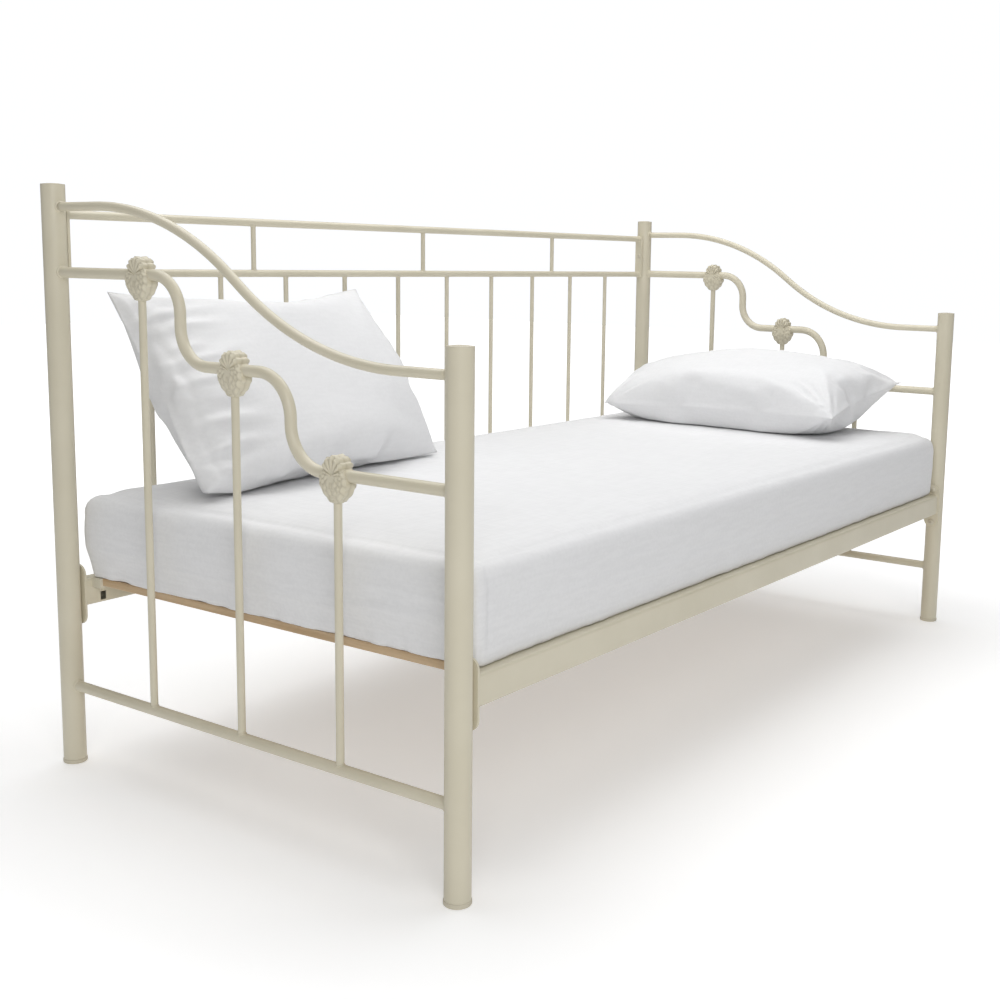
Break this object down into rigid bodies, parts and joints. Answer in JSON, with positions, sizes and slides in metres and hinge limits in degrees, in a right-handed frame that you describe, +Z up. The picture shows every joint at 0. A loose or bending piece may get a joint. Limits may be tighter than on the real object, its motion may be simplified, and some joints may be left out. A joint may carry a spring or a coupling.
{
  "type": "daybed",
  "caption": "Single metal daybed with stepped scroll ends, shell castings, a spindle back, slat base, mattress in a fitted sheet and pillows.",
  "frame": {"origin": "on the floor, under the middle of the frame", "axes": "+X along the bed, +Y towards the back panel, +Z up"},
  "size_m": [2.013, 0.963, 1.054],
  "materials": {
    "frame_paint": "cream powder coat, semi-gloss",
    "casting_paint": "cast, cream powder coat, semi-gloss",
    "plug_plastic": "moulded cream plastic, satin",
    "bolt_paint": "cream painted bolt heads, satin",
    "zinc_steel": "zinc plated, dull",
    "slat_wood": "planed pine, unfinished",
    "holder_plastic": "moulded off-white plastic, matt",
    "mattress_ticking": "woven white ticking, quilted",
    "sheet_cotton": "plain white cotton, matt",
    "pillow_cotton": "fine white cotton, matt"
  },
  "bodies": {
    "frame": {"post_front_left": "frame_paint", "post_front_right": "frame_paint", "post_back_left": "frame_paint", "post_back_right": "frame_paint", "foot_glide_front_left": "plug_plastic", "foot_glide_front_right": "plug_plastic", "foot_glide_back_left": "plug_plastic", "foot_glide_back_right": "plug_plastic", "post_caps": "plug_plastic", "end_top_rail_left": "frame_paint", "end_top_rail_right": "frame_paint", "end_scroll_rail_left": "frame_paint", "end_scroll_rail_right": "frame_paint", "end_bottom_rail_left": "frame_paint", "end_bottom_rail_right": "frame_paint", "end_spindle_left_1": "frame_paint", "end_spindle_left_2": "frame_paint", "end_spindle_left_3": "frame_paint", "end_spindle_right_1": "frame_paint", "end_spindle_right_2": "frame_paint", "end_spindle_right_3": "frame_paint", "shell_casting_left_1": "casting_paint", "shell_casting_left_2": "casting_paint", "shell_casting_left_3": "casting_paint", "shell_casting_right_1": "casting_paint", "shell_casting_right_2": "casting_paint", "shell_casting_right_3": "casting_paint", "back_top_rail": "frame_paint", "back_middle_rail": "frame_paint", "back_bottom_rail": "frame_paint", "back_end_bar_left": "frame_paint", "back_end_bar_right": "frame_paint", "back_upright_left": "frame_paint", "back_upright_middle": "frame_paint", "back_upright_right": "frame_paint", "back_spindle_1": "frame_paint", "back_spindle_2": "frame_paint", "back_spindle_3": "frame_paint", "back_spindle_4": "frame_paint", "back_spindle_5": "frame_paint", "back_spindle_6": "frame_paint", "back_spindle_7": "frame_paint", "back_spindle_8": "frame_paint", "back_spindle_9": "frame_paint", "back_spindle_10": "frame_paint", "side_rail_front": "frame_paint", "side_rail_back": "frame_paint", "rail_plate_front_left": "frame_paint", "rail_plate_front_right": "frame_paint", "rail_plate_back_left": "frame_paint", "rail_plate_back_right": "frame_paint", "rail_bolts": "bolt_paint", "rail_nuts": "zinc_steel", "back_panel_bolts": "bolt_paint", "slats": "slat_wood", "slat_holders": "holder_plastic"},
    "mattress": {"mattress": "mattress_ticking", "fitted_sheet": "sheet_cotton"},
    "pillow_left": {"pillow_left": "pillow_cotton"},
    "pillow_right": {"pillow_right": "pillow_cotton"}
  },
  "joints": [
    {"name": "mattress_lift", "type": "slide", "parent": "frame", "child": "mattress", "axis": [0, 0, 1], "range_m": [0, 0.15]},
    {"name": "pillow_left_lift", "type": "slide", "parent": "mattress", "child": "pillow_left", "axis": [0, 0, 1], "range_m": [0, 0.15]},
    {"name": "pillow_right_lift", "type": "slide", "parent": "mattress", "child": "pillow_right", "axis": [0, 0, 1], "range_m": [0, 0.15]}
  ]
}
